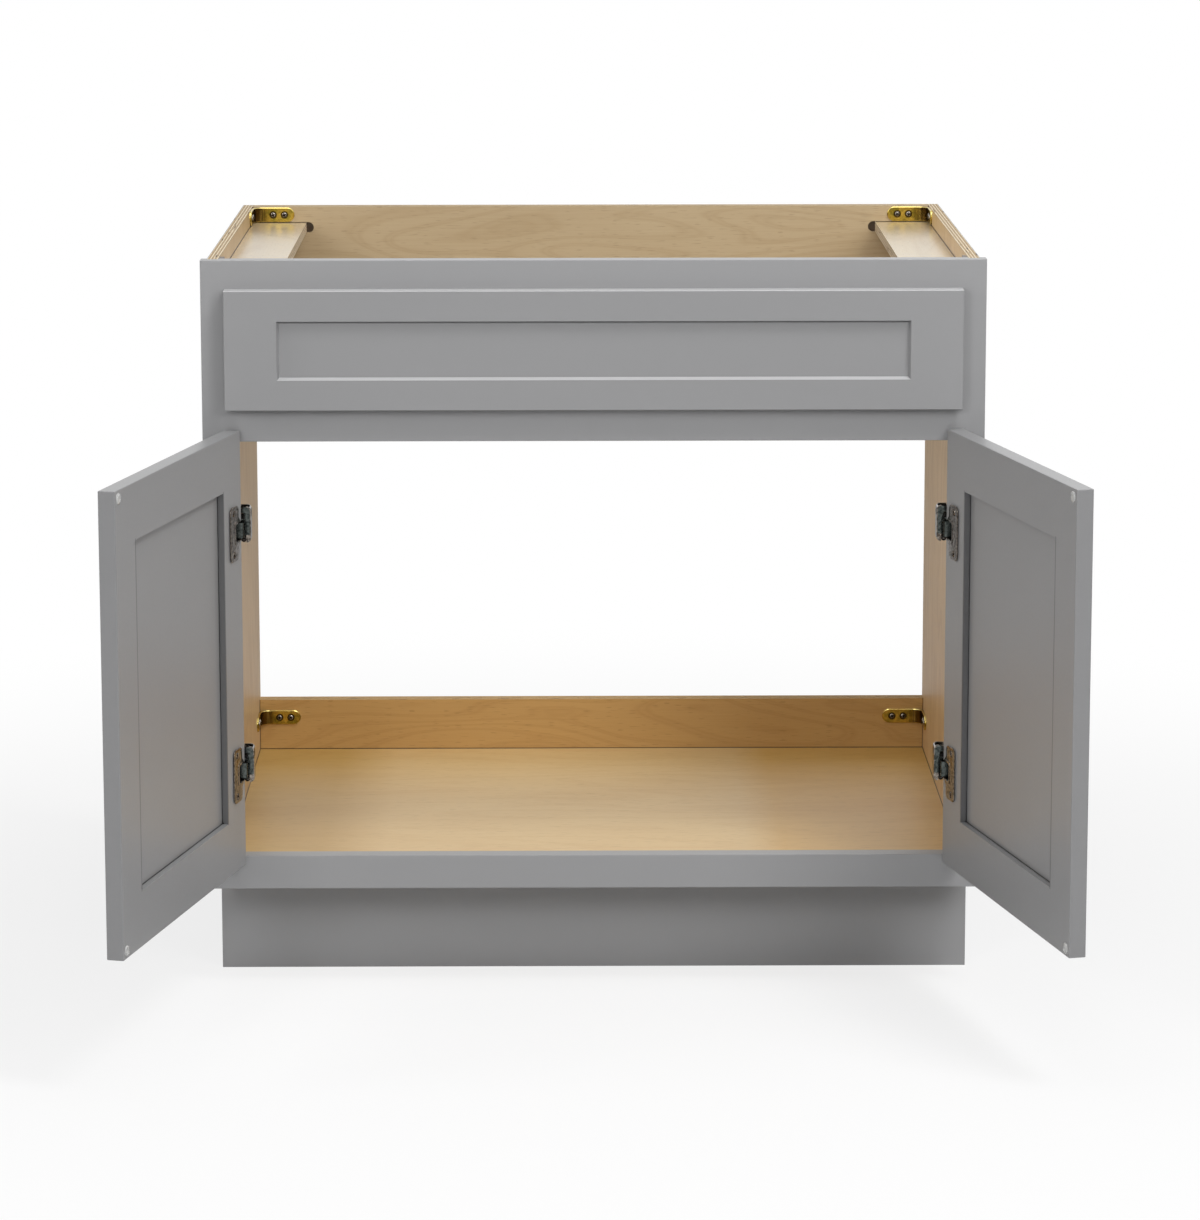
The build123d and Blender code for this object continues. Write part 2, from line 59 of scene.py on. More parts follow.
MM = 0.001
MATH, RAMP, MIX, VECTOR = "ShaderNodeMath", "ShaderNodeValToRGB", "ShaderNodeMix", "ShaderNodeVectorMath"
SPLIT, JOIN = "ShaderNodeSeparateXYZ", "ShaderNodeCombineXYZ"
OVER = {"data_type": "RGBA"}
TIMES = {"data_type": "RGBA", "blend_type": "MULTIPLY"}

node_slots = {name: node.data.materials[0].name for name, node in frame["nodes"].items()}
sides = {"left": -1, "right": 1}
levels = ("lower", "upper")
upwards = Vector((0, 0, 1))

# Places in metres, read from the frame
side_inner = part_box("right_side_panel")[0].x
rail_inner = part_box("upper_back_rail")[0].y
floor_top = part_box("floor_panel")[1].z
stretcher_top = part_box("left_top_stretcher")[1].z
frame_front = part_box("face_frame_right_stile")[0].y
stile_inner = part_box("face_frame_right_stile")[0].x

# A door in millimetres: its width, and its hinge pin from its hinge edge and under its inner face
door_opening = radians(104)
door_width = 392.2
pin_inset, pin_depth = 6.4, 7.45


def linear(colour):
    """A colour written as sRGB hex digits, as the linear values that the shaders take."""
    channels = [int(colour[start:start + 2], 16) / 255 for start in (1, 3, 5)]
    return tuple(
        channel / 12.92 if channel <= 0.04045 else ((channel + 0.055) / 1.055) ** 2.4
        for channel in channels
    )


def feed(tree, node, inputs):
    """Set a node's inputs, each to a value, a colour, or the node or socket that feeds it."""
    for key, value in inputs.items() if isinstance(inputs, dict) else enumerate(inputs):
        socket = node.inputs[key]
        if isinstance(value, bpy.types.Node):
            value = next(output for output in value.outputs if output.enabled)
        if isinstance(value, bpy.types.NodeSocket):
            tree.links.new(value, socket)
        elif socket.type == "RGBA" and len(value) == 3:
            socket.default_value = (*value, 1)
        else:
            socket.default_value = value


def add(tree, kind, inputs=(), stops=(), interpolation="LINEAR", **settings):
    """Add a node with its settings and links, and with the stops of its ramp where it has one."""
    made = tree.nodes.new(kind)
    for setting, value in settings.items():
        setattr(made, setting, value)
    feed(tree, made, inputs)
    if stops:
        made.color_ramp.interpolation = interpolation
        points = made.color_ramp.elements
        while len(points) < len(stops):
            points.new(1.0)
        for point, (at, colour) in zip(points, stops):
            point.position = at
            point.color = (*colour, 1) if isinstance(colour, tuple) else (colour, colour, colour, 1)
    return made


def colour_setting(name, description, colour):
    return FloatVectorProperty(
        name=name, description=description, subtype="COLOR", size=3, min=0, max=1, default=linear(colour)
    )


def length_setting(name, description, millimetres):
    return FloatProperty(
        name=name, description=description, subtype="DISTANCE", unit="LENGTH", min=0,
        default=millimetres * MM, precision=5,
    )


def power_setting(name, description, watts):
    return FloatProperty(name=name, description=description, subtype="POWER", min=0, default=watts)


def share_setting(name, description, value):
    return FloatProperty(name=name, description=description, subtype="FACTOR", min=0, max=1, default=value)


class SINKBASE_PG_paint(bpy.types.PropertyGroup):
    """Sprayed finish of the face frame, the fronts and the toe board."""
    colour: colour_setting("Paint", "Grey of the lacquered front", "#89898A")
    roughness: share_setting("Roughness", "Satin sheen of the lacquer", 0.36)
    ripple: length_setting("Ripple", "Width of the spray ripple", 2.5)


class SINKBASE_PG_plywood(bpy.types.PropertyGroup):
    """Birch plywood of the carcass."""
    side_pale: colour_setting("Side, pale", "Early wood of the side panels", "#C4AB86")
    side_dark: colour_setting("Side, dark", "Late wood of the side panels", "#AB8D66")
    floor_pale: colour_setting("Floor, pale", "Early wood of the floor", "#D2B784")
    floor_dark: colour_setting("Floor, dark", "Late wood of the floor", "#B68C4C")
    upper_pale: colour_setting("Upper rail, pale", "Early wood of the upper back rail", "#B19D7C")
    upper_dark: colour_setting("Upper rail, dark", "Late wood of the upper back rail", "#927953")
    lower_pale: colour_setting("Lower rail, pale", "Early wood of the lower back rail", "#BA945A")
    lower_dark: colour_setting("Lower rail, dark", "Late wood of the lower back rail", "#9C743D")
    top_pale: colour_setting("Stretcher, pale", "Early wood of the top stretchers", "#C9B795")
    top_dark: colour_setting("Stretcher, dark", "Late wood of the top stretchers", "#B39C77")
    fibre: length_setting("Fibre", "Width of a streak of fibres", 1.4)


class SINKBASE_PG_metal(bpy.types.PropertyGroup):
    """Steel fittings."""
    zinc: colour_setting("Yellow zinc", "Chromated zinc of the corner brackets", "#BE9E42")
    nickel: colour_setting("Nickel", "Plating of the hinges", "#958D84")
    black: colour_setting("Black nickel", "Plating of the hinge arms and knobs", "#5A5F5C")
    screw: colour_setting("Screw zinc", "Clear zinc of the screws", "#857E76")
    head_diameter: length_setting("Head diameter", "Pan head of a screw", 6.0)
    head_height: length_setting("Head height", "Pan head of a screw", 1.4)
    recess_width: length_setting("Recess width", "Cross recess of a screw, from tip to tip", 4.2)


class SINKBASE_PG_stage(bpy.types.PropertyGroup):
    """Floor, lamps and camera."""
    floor: colour_setting("Floor", "Pale studio floor", "#E2E2E2")
    key_power: power_setting("Key", "Tall softbox at the front, on the right", 42)
    high_power: power_setting("High", "Softbox high up on the right", 58)
    left_power: power_setting("Left", "Softbox at the front, on the left", 29)
    centre_power: power_setting("Centre", "Softbox over the camera", 14)
    far_power: power_setting("Far", "Softbox far to the left", 31)
    top_power: power_setting("Top", "Softbox overhead", 29)
    rear_power: power_setting("Rear", "Softbox behind the cabinet", 7)
    ambient: share_setting("Ambient", "Light of the white room", 0.12)
    shadow_reach: length_setting("Shadow reach", "Where the floor's shadow has faded out", 1900.0)


def material(name):
    """A new material, its node tree, its surface shader and its texture coordinates."""
    made = bpy.data.materials.new(name)
    made.use_nodes = True
    tree = made.node_tree
    return made, tree, tree.nodes["Principled BSDF"], add(tree, "ShaderNodeTexCoord").outputs


def give(piece, finish):
    piece.data.materials.clear()
    piece.data.materials.append(finish)


def finish_nodes(slot, finish):
    """Give a material to every CAD node of one slot of the record."""
    for name, own_slot in node_slots.items():
        if own_slot == slot:
            give(frame["nodes"][name], finish)


def stretched(tree, place, scales, **noise):
    """Noise with its own number of features a metre along X, Y and Z."""
    scaled = add(tree, VECTOR, [place, scales], operation="MULTIPLY")
    values = {"Scale": 1.0, "Detail": 2.0, "Roughness": 0.5, **noise}
    return add(tree, "ShaderNodeTexNoise", {"Vector": scaled, **values})


def door_axes(side):
    """A door at rest: the way from its hinge edge, the way out of its inner face, and that edge."""
    along = Vector((-sides[side] * cos(door_opening), -sin(door_opening), 0))
    inward = Vector((-sides[side] * sin(door_opening), cos(door_opening), 0))
    pivot = next(
        Vector(joint["pos_m"]) for joint in frame["joints"] if joint["name"] == f"{side}_door_hinge"
    )
    return along, inward, pivot - along * pin_inset * MM + inward * pin_depth * MM


def door_joints_and_shade(tree, place, side):
    """Painted shade on a door's inner face: a darkened step round its panel, a black line at the step's foot,
    partly a joint and partly painted shadow, and a darker free edge.
    """
    along, inward, edge = door_axes(side)
    across, depth = (
        add(tree, MATH, [
            add(tree, VECTOR, [place, tuple(axis)], operation="DOT_PRODUCT"), edge.dot(axis),
        ], operation="SUBTRACT")
        for axis in (along, inward)
    )
    height = add(tree, SPLIT, [place]).outputs[2]
    low, high = (corner.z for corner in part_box(f"{side}_door_hinge_stile"))
    from_side = add(tree, MATH, [
        across, add(tree, MATH, [door_width * MM, across], operation="SUBTRACT"),
    ], operation="MINIMUM")
    from_end = add(tree, MATH, [
        add(tree, MATH, [height, low], operation="SUBTRACT"),
        add(tree, MATH, [high, height], operation="SUBTRACT"),
    ], operation="MINIMUM")

    # The ramps go from the door's edges, at 0, to 100 mm from them, at 1
    # Painted shade on the step round the panel, a black line at the step's foot, partly a joint and partly
    # painted shadow, and a soft painted shadow fading onto the panel
    step = add(
        tree, RAMP, [add(tree, MATH, [from_side, 100 * MM], operation="DIVIDE")],
        stops=[
            (0.561, 1.0), (0.563, 0.6), (0.586, 0.5), (0.588, 0.04), (0.612, 0.04), (0.62, 0.78), (0.75, 1.0),
        ],
    )
    foot = add(
        tree, RAMP, [add(tree, MATH, [from_end, 100 * MM], operation="DIVIDE")],
        stops=[(0.584, 0.1), (0.598, 0.1), (0.604, 0.85), (0.66, 1.0)],
    )

    # Between the stiles, clear of the rails, off the outer face and on the free edge, in millimetres
    between, clear, inner, free = (
        add(tree, MATH, [value, limit * MM], operation="GREATER_THAN")
        for value, limit in ((from_side, 58), (from_end, 57), (depth, -9), (across, door_width - 0.6))
    )
    recessed = add(tree, MATH, [depth, -5 * MM], operation="LESS_THAN")
    recessed = add(tree, MATH, [recessed, between], operation="MULTIPLY")
    shown = add(tree, MATH, [inner, clear], operation="MULTIPLY")
    both = add(tree, MIX, {0: 1.0, 6: step, 7: foot}, **TIMES)
    shade = add(tree, MIX, {0: recessed, 6: step, 7: both}, **OVER)
    shade = add(tree, MIX, {0: shown, 6: (1, 1, 1), 7: shade}, **OVER)
    # A painted shade of 0.8 on the door's free edge
    return add(tree, MIX, {0: free, 6: shade, 7: (0.8, 0.8, 0.8)}, **OVER)


def sprayed_lacquer(name, along, door=None, tone=1.0, painted_bevel_light=None):
    """Satin catalysed lacquer, sprayed over sanded maple that shows through it a little.

    Even mid grey with a soft sheen. A fine ripple from the spray breaks up its highlights,
    and long faint ridges of grain run along the member. A door gets painted shade on the step
    round its panel and on its free edge, and a black line at the step's foot, partly a joint
    and partly painted shadow. Bevels get painted highlight and painted shade, as shades of the
    paint times its tone, from a face that looks down, at 0, to one that looks up, at 1.
    """
    paint = bpy.context.scene.sinkbase_paint
    made, tree, shader, coordinates = material(name)
    place = coordinates["Object"]
    pores = 1 / (1.6 * MM)
    grain = stretched(tree, place, (pores, pores, 3.0) if along == 2 else (3.0, 3.0, pores), Detail=3.0)
    ripple = stretched(tree, place, (1 / paint.ripple,) * 3, Detail=1.0)
    tint = add(tree, RAMP, [stretched(tree, place, (3.0,) * 3)], stops=[(0.3, 0.97), (0.7, 1.0)])
    if door:
        tint = add(tree, MIX, {0: 1.0, 6: tint, 7: door_joints_and_shade(tree, place, door)}, **TIMES)
    if painted_bevel_light:
        # Painted highlight on the edges that face up, and painted shade on those that face down
        upward = add(tree, SPLIT, [coordinates["Normal"]]).outputs[2]
        rise = add(tree, MATH, [upward, 0.5, 0.5], operation="MULTIPLY_ADD")
        tint = add(tree, MIX, {0: 1.0, 6: tint, 7: add(tree, RAMP, [rise], stops=painted_bevel_light)}, **TIMES)
    colour = tuple(tone * channel for channel in paint.colour)
    ridges = add(tree, "ShaderNodeBump", {"Height": grain, "Strength": 0.05, "Distance": 0.1 * MM})
    ripples = {"Height": ripple, "Strength": 0.06, "Distance": 0.15 * MM, "Normal": ridges}
    feed(tree, shader, {
        "Base Color": add(tree, MIX, {0: 1.0, 6: colour, 7: tint}, **TIMES),
        "Roughness": add(tree, MATH, [ripple, 0.08, paint.roughness - 0.04], operation="MULTIPLY_ADD"),
        "Normal": add(tree, "ShaderNodeBump", ripples),
    })
    return made


def veneer(tree, place, along, pale, dark, seed, figure, late_share, streak):
    """Colour and fibres of rotary cut birch, with slow arches of late wood and small flecks."""
    fibre = bpy.context.scene.sinkbase_plywood.fibre
    moved = add(tree, VECTOR, [place, (seed, seed * 0.7, seed * 1.3)], operation="ADD")

    def scales(length, width):
        return tuple(1 / (length if axis == along else width) for axis in range(3))

    # Arches 400 mm long and 90 mm wide, drawn as contour lines of a slow noise
    slow = stretched(tree, moved, scales(0.40, 0.09), Detail=1.2, Distortion=0.35)
    wave = add(tree, MATH, [add(tree, MATH, [slow, figure], operation="MULTIPLY")], operation="SINE")
    wave = add(tree, MATH, [wave, 0.5, 0.5], operation="MULTIPLY_ADD")
    late = add(tree, RAMP, [wave], stops=[(0.0, 0.0), (0.6, 0.08), (0.94, 0.9), (1.0, 0.45)])
    fibres = stretched(tree, moved, scales(streak, fibre), Detail=3.0, Roughness=0.6)
    cloud = stretched(tree, moved, scales(0.25, 0.10))
    amount = add(tree, MATH, [late, late_share], operation="MULTIPLY")
    for part, share in ((fibres, 0.45), (cloud, 0.55)):
        part = add(tree, MATH, [part, 0.35], operation="SUBTRACT")
        part = add(tree, MATH, [part, share], operation="MULTIPLY")
        amount = add(tree, MATH, [amount, part], operation="ADD")
    amount = add(tree, MATH, [amount, 0.05], operation="ADD", use_clamp=True)
    colour = add(tree, MIX, {0: amount, 6: pale, 7: dark}, **OVER)

    # Flecks 14 mm long and 1.1 mm wide
    fleck = stretched(tree, moved, scales(0.014, 1.1 * MM), Detail=0.0)
    fleck = add(tree, RAMP, [fleck], stops=[(0.68, 0.0), (0.78, 1.0)])
    fleck = add(tree, MATH, [fleck, 0.35], operation="MULTIPLY")
    darker = tuple(channel * 0.62 for channel in dark)
    return add(tree, MIX, {0: fleck, 6: colour, 7: darker}, **OVER), fibres


def birch_plywood(
    name, node, through, along, pale, dark,
    seed=0.0, figure=60.0, late_share=0.38, streak=0.09, plies=7, polish=0.40, sawn=(1.0, 1.0, 1.0),
    exterior=False, joints=(), sheets=(),
):
    """Birch plywood, rotary cut, clear lacquered and sawn at its edges.

    Warm and softly shiny on its faces, with dull stripes of end grain between pale plies,
    thin brown glue lines and a few dark voids where an edge is sawn. Joints with other boards
    are dark hairlines, partly the joint and partly painted shadow in the corner, each given by
    its axis and its two ends. Sheets of veneer of another tone follow each other along X; on
    the floor they darken its left and right, partly as a tone of the veneer and partly as
    painted shade.
    """
    made, tree, shader, coordinates = material(name)
    place = coordinates["Object"]
    split = add(tree, SPLIT, [place]).outputs
    facing = add(tree, SPLIT, [coordinates["Normal"]]).outputs
    low, high = (corner[through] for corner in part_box(node))
    depth = split[through]
    if through == 0:
        depth = add(tree, MATH, [depth], operation="ABSOLUTE")
        low, high = sorted((abs(low), abs(high)))
    colour, fibres = veneer(tree, place, along, pale, dark, seed, figure, late_share, streak)
    # Sheets of another tone along X; on the floor they are partly painted shade
    if sheets:
        tone = add(tree, RAMP, [add(tree, MATH, [split[0], 0.5], operation="ADD")], stops=sheets)
        colour = add(tree, MIX, {0: 1.0, 6: colour, 7: tone}, **TIMES)
    # Dark hairlines at the joints: partly the joint and partly painted shadow in the corner
    for axis, start, end in joints:
        where = split[axis]
        if axis == 0:
            where = add(tree, MATH, [where], operation="ABSOLUTE")
        away = add(tree, MATH, [where, (start + end) / 2], operation="SUBTRACT")
        away = add(tree, MATH, [away], operation="ABSOLUTE")
        inside = add(tree, MATH, [away, (end - start) / 2], operation="LESS_THAN")
        if through == 1:
            # A back rail meets the other boards on its front face only
            front = add(tree, MATH, [facing[1], 0.0], operation="LESS_THAN")
            inside = add(tree, MATH, [inside, front], operation="MULTIPLY")
        inside = add(tree, MATH, [inside, 0.85], operation="MULTIPLY")
        colour = add(tree, MIX, {0: inside, 6: colour, 7: linear("#3C2818")}, **OVER)

    # Layers across the thickness, a little wavy, as the knife left them
    waver = add(tree, MATH, [stretched(tree, place, (25.0,) * 3, Detail=1.0), 0.5], operation="SUBTRACT")
    waver = add(tree, MATH, [waver, 0.03], operation="MULTIPLY")
    layer = add(tree, MATH, [depth, low], operation="SUBTRACT")
    layer = add(tree, MATH, [layer, high - low], operation="DIVIDE")
    layer = add(tree, MATH, [layer, waver], operation="ADD")
    long_grain, end_grain, glue = (
        tuple(channel * share for channel, share in zip(linear(tone), sawn))
        for tone in ("#E6D8BC", "#B39A78", "#6E563E")
    )
    stops = []
    for ply in range(plies):
        stops.append((ply / plies, glue))
        stops.append((ply / plies + 0.18 / plies, end_grain if ply % 2 else long_grain))
    stripes = add(tree, RAMP, [layer], stops=stops, interpolation="CONSTANT")
    rough_saw = stretched(tree, place, (1 / (0.9 * MM),) * 3)
    rough_saw = add(tree, RAMP, [rough_saw], stops=[(0.3, 0.82), (0.7, 1.06)])
    stripes = add(tree, MIX, {0: 1.0, 6: stripes, 7: rough_saw}, **TIMES)
    along_edge = tuple(1 / 0.030 if axis != through else 1 / (1.4 * MM) for axis in range(3))
    void = stretched(tree, place, along_edge, Detail=0.0)
    void = add(tree, RAMP, [void], stops=[(0.74, 0.0), (0.77, 1.0)])
    stripes = add(tree, MIX, {0: void, 6: stripes, 7: linear("#3A2C20")}, **OVER)
    flat = add(tree, MATH, [facing[through]], operation="ABSOLUTE")
    flat = add(tree, MATH, [flat, 0.5], operation="GREATER_THAN")
    colour = add(tree, MIX, {0: flat, 6: stripes, 7: colour}, **OVER)
    if exterior:
        # Grey skin on the outside, a fraction of a millimetre thick on the sawn edge
        skin = add(tree, MATH, [depth, high - 0.6 * MM], operation="GREATER_THAN")
        colour = add(tree, MIX, {0: skin, 6: colour, 7: bpy.context.scene.sinkbase_paint.colour}, **OVER)
    feed(tree, shader, {
        "Base Color": colour,
        "Roughness": add(tree, MATH, [flat, polish - 0.85, 0.85], operation="MULTIPLY_ADD"),
        "Normal": add(tree, "ShaderNodeBump", {"Height": fibres, "Strength": 0.12, "Distance": 0.1 * MM}),
    })
    return made


def bracket_shade_and_highlights(tree, coordinates, plating):
    """Painted shade and reflection in a bracket's bend, brown and streaked, a painted highlight on its
    pressed edges, and a painted shadow ring under each head.
    """
    place = add(tree, SPLIT, [coordinates["Object"]]).outputs
    facing = add(tree, SPLIT, [coordinates["Normal"]]).outputs
    outward = add(tree, MATH, [place[0]], operation="ABSOLUTE")
    along = add(tree, MATH, [
        add(tree, MATH, [side_inner, outward], operation="SUBTRACT"),
        add(tree, MATH, [rail_inner, place[1]], operation="SUBTRACT"),
    ], operation="MAXIMUM")
    # Painted shade and reflection in the concave bend, brown and streaked
    streak = stretched(tree, coordinates["Object"], (1 / (0.7 * MM), 1 / (0.7 * MM), 12.0), Detail=1.0)
    streak = add(tree, MATH, [streak, 0.5], operation="SUBTRACT")
    bend_shade = add(tree, MATH, [along, 30 * MM], operation="DIVIDE")
    bend_shade = add(tree, MATH, [streak, 0.5, bend_shade], operation="MULTIPLY_ADD")
    bend_shade = add(tree, RAMP, [bend_shade], stops=[(0.34, 0.92), (0.72, 0.0)])
    shaded_plating = add(tree, MIX, {0: bend_shade, 6: plating, 7: linear("#4A3417")}, **OVER)

    # Millimetres from the corner to both screws, and from the ground to both brackets' middles
    off = []
    for value, first, last in ((along, 24.3, 37.7), (place[2], 181.1, 790.5)):
        away = add(tree, MATH, [value, (first + last) / 2 * MM], operation="SUBTRACT")
        away = add(tree, MATH, [away], operation="ABSOLUTE")
        away = add(tree, MATH, [away, (last - first) / 2 * MM], operation="SUBTRACT")
        off.append(add(tree, MATH, [away, away], operation="MULTIPLY"))
    reach = add(tree, MATH, [add(tree, MATH, off, operation="ADD")], operation="SQRT")
    reach = add(tree, MATH, [reach, 6 * MM], operation="DIVIDE")
    # Painted shadow in a ring round each screw head
    head_shadow = add(tree, RAMP, [reach], stops=[(0.5, 1.0), (0.66, 0.9), (0.84, 0.0)])
    shaded_plating = add(tree, MIX, {0: head_shadow, 6: shaded_plating, 7: linear("#2E2310")}, **OVER)
    # Painted highlight on the pressed edges that face partly up or down
    rim = add(tree, MATH, [facing[2]], operation="ABSOLUTE")
    rim = add(tree, RAMP, [rim], stops=[(0.2, 0.0), (0.4, 0.7), (0.85, 0.7), (0.97, 0.2)])
    return add(tree, MIX, {0: rim, 6: shaded_plating, 7: linear("#F0DC8C")}, **OVER)


def plated_steel(name, colour, roughness, patch, shade, painted_light=None):
    """Pressed steel with a bright plating, clouded where the bath left it thinner. On the hinges' nickel the
    small dark clouds are painted reflection.

    The attribute sunk is the depth in the cross recess of a screw, which gets a painted shade.
    """
    made, tree, shader, coordinates = material(name)
    place = coordinates["Object"]
    cloud = stretched(tree, place, (1 / patch,) * 3, Detail=3.0, Roughness=0.6)
    thin = add(tree, RAMP, [cloud], stops=[(0.4, 0.0), (0.6, 1.0)])
    tinted = add(tree, MIX, {0: thin, 6: colour, 7: shade}, **OVER)
    if painted_light:
        tinted = painted_light(tree, coordinates, tinted)
    sunk = add(tree, "ShaderNodeAttribute", attribute_name="sunk").outputs["Fac"]
    # Painted shade in the cross recess, darker the deeper it is
    dark = add(tree, MATH, [sunk, 1 * MM], operation="DIVIDE")
    dark = add(tree, RAMP, [dark], stops=[(0.0, 0.0), (0.35, 0.92)])
    grit = stretched(tree, place, (1 / (0.5 * MM),) * 3, Detail=1.0)
    feed(tree, shader, {
        "Base Color": add(tree, MIX, {0: dark, 6: tinted, 7: linear("#1E1B18")}, **OVER),
        "Metallic": 1.0,
        "Roughness": add(tree, MATH, [cloud, 0.16, roughness - 0.08], operation="MULTIPLY_ADD"),
        "Normal": add(tree, "ShaderNodeBump", {"Height": grit, "Strength": 0.08, "Distance": 0.05 * MM}),
    })
    return made


def moulded_plastic(name, colour, roughness):
    """Injection moulded polypropylene: waxy, with a fine eroded texture."""
    made, tree, shader, coordinates = material(name)
    place = coordinates["Object"]
    grit = stretched(tree, place, (1 / (0.6 * MM),) * 3)
    cloud = stretched(tree, place, (60.0,) * 3)
    dark = tuple(channel * 0.75 for channel in colour)
    feed(tree, shader, {
        "Base Color": add(tree, MIX, {0: cloud, 6: dark, 7: colour}, **OVER),
        "Roughness": roughness,
        "Subsurface Weight": 0.05,
        "Normal": add(tree, "ShaderNodeBump", {"Height": grit, "Strength": 0.2, "Distance": 0.1 * MM}),
    })
    return made


def clear_polyurethane(name):
    """Cast polyurethane dome: clear, slightly milky, with a smooth poured skin."""
    made, tree, shader, coordinates = material(name)
    cloud = stretched(tree, coordinates["Object"], (1 / (2.5 * MM),) * 3)
    feed(tree, shader, {
        "Base Color": add(tree, MIX, {0: cloud, 6: linear("#F2F2F0"), 7: linear("#D9DAD8")}, **OVER),
        "Roughness": 0.18,
        "IOR": 1.5,
        "Transmission Weight": 0.55,
    })
    return made


def filleted(corners, steps=6):
    """Outline of a plate with square turns, each corner given as X, Y and its radius."""
    points = []
    for index, (x, y, radius) in enumerate(corners):
        here = Vector((x, y))
        came = (here - Vector(corners[index - 1][:2])).normalized()
        goes = (Vector(corners[(index + 1) % len(corners)][:2]) - here).normalized()
        centre = here + (goes - came) * radius
        for step in range(steps + 1):
            turn = pi / 2 * step / steps
            points.append(tuple(centre + radius * (came * sin(turn) - goes * cos(turn))))
    return points


def ring(centre, radius, steps=24):
    """Outline of a round hole or disc."""
    turns = (2 * pi * step / steps for step in range(steps))
    return [(centre[0] + radius * cos(turn), centre[1] + radius * sin(turn)) for turn in turns]


def pressed(outlines, base, thickness, rim):
    """Pressed sheet with rounded rims, in millimetres: its outlines and holes on XY, standing on a base."""
    sheet = bpy.data.curves.new("sheet", "CURVE")
    sheet.dimensions, sheet.fill_mode = "2D", "BOTH"
    sheet.extrude, sheet.bevel_depth, sheet.bevel_resolution = thickness / 2 - rim, rim, 2
    sheet.offset = -rim
    for points in outlines:
        spline = sheet.splines.new("POLY")
        spline.points.add(len(points) - 1)
        for knot, (x, y) in zip(spline.points, points):
            knot.co = (x, y, 0, 1)
        spline.use_cyclic_u = True
    holder = bpy.data.objects.new("sheet", sheet)
    mesh = bpy.data.meshes.new_from_object(holder)
    bpy.data.objects.remove(holder)
    mesh.transform(Matrix.Translation((0, 0, base + thickness / 2)))
    return mesh


def axes_matrix(right, up, out, origin):
    """From millimetres along three directions to places in the frame."""
    turned = Matrix((right, up, out)).transposed().to_4x4()
    return Matrix.Translation(origin) @ turned @ Matrix.Scale(MM, 4)


def smoothed(mesh):
    """Shade a mesh smooth, with its edges of more than 40 degrees left sharp."""
    for face in mesh.polygons:
        face.use_smooth = True
    mesh.set_sharp_from_angle(angle=0.7)


def joined(name, parts, finish, body):
    """One piece from placed meshes, closed, with its faces outwards, riding on a body."""
    whole = bmesh.new()
    for mesh, place in parts:
        mesh.transform(place)
        whole.from_mesh(mesh)
        bpy.data.meshes.remove(mesh)
    bmesh.ops.remove_doubles(whole, verts=whole.verts, dist=0.005 * MM)
    bmesh.ops.recalc_face_normals(whole, faces=whole.faces)
    mesh = bpy.data.meshes.new(name)
    whole.to_mesh(mesh)
    whole.free()
    smoothed(mesh)
    mesh.materials.append(finish)
    piece = bpy.data.objects.new(name, mesh)
    bpy.context.scene.collection.objects.link(piece)
    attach(piece, body)


def islands(node):
    """The separate solids of a CAD node, each as an array of its corner points."""
    mesh = bmesh.new()
    mesh.from_mesh(frame["nodes"][node].data)
    bmesh.ops.remove_doubles(mesh, verts=mesh.verts, dist=0.001 * MM)
    waiting, found = set(mesh.verts), []
    while waiting:
        edge, group = [waiting.pop()], []
        while edge:
            point = edge.pop()
            group.append(point.co.copy())
            for line in point.link_edges:
                other = line.other_vert(point)
                if other in waiting:
                    waiting.remove(other)
                    edge.append(other)
        found.append(np.array(group))
    mesh.free()
    return found


def screw_places(node):
    """Seat, outward axis and shank length of every screw of a CAD node."""
    places = []
    head_height = bpy.context.scene.sinkbase_metal.head_height
    for points in islands(node):
        middle = points.mean(0)
        axis = np.linalg.svd(points - middle)[2][0]
        along = (points - middle) @ axis
        spread = np.linalg.norm(points - middle - np.outer(along, axis), axis=1)
        wide = spread > spread.max() * 0.95
        if along[wide].mean() < 0:
            axis, along = -axis, -along
        centre = (points[wide].min(0) + points[wide].max(0)) / 2
        top = centre + axis * (along.max() - (centre - middle) @ axis)
        places.append((top - axis * head_height, axis, along.max() - along.min() - head_height))
    return places


